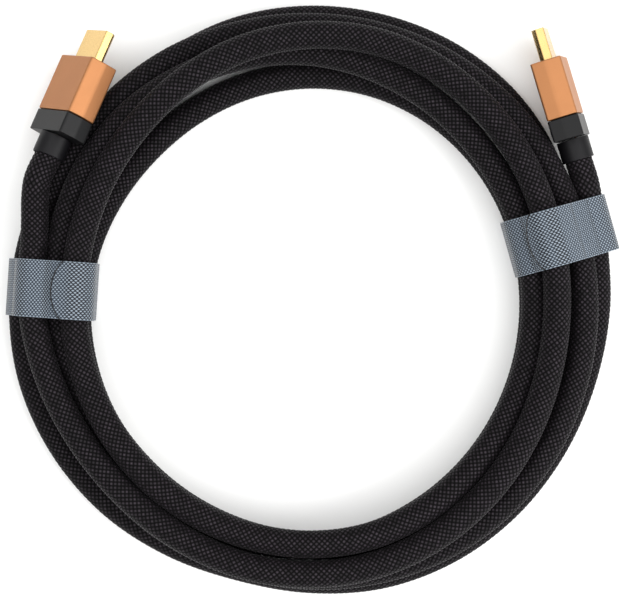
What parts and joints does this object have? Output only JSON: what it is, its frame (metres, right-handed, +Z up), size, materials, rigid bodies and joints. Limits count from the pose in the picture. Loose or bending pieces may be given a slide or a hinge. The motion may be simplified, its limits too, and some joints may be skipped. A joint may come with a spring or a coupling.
{
  "type": "hdmi cable",
  "caption": "Braided round video cable wound into a flat coil and tied by two hook-and-loop straps, with a gold shelled type A plug in a copper coloured housing at each end.",
  "frame": {"origin": "middle of the whole object in plan, on the surface that the coil lies on", "axes": "+Z up, out of the flat coil; +Y towards the two plugs, which point that way; +X from the left plug to the right plug"},
  "size_m": [0.2052, 0.1972, 0.033],
  "materials": {
    "braid": "black braided textile sleeve, matt with a faint sheen on each yarn",
    "sleeve_rubber": "matt black moulded rubber",
    "collar_plastic": "satin dark grey moulded plastic",
    "copper_anodised": "satin copper coloured anodised aluminium",
    "gold_plate": "bright gold plated sheet metal",
    "insulator": "black moulded insulator",
    "strap_fabric": "grey blue dotted hook-and-loop textile"
  },
  "bodies": {
    "root": {"braided_cable": "braid", "left_strain_relief": "sleeve_rubber", "left_collar": "collar_plastic", "left_housing": "copper_anodised", "left_plug_shell": "gold_plate", "left_plug_insert": "insulator", "right_strain_relief": "sleeve_rubber", "right_collar": "collar_plastic", "right_housing": "copper_anodised", "right_plug_shell": "gold_plate", "right_plug_insert": "insulator", "left_strap": "strap_fabric", "right_strap": "strap_fabric"}
  },
  "joints": []
}
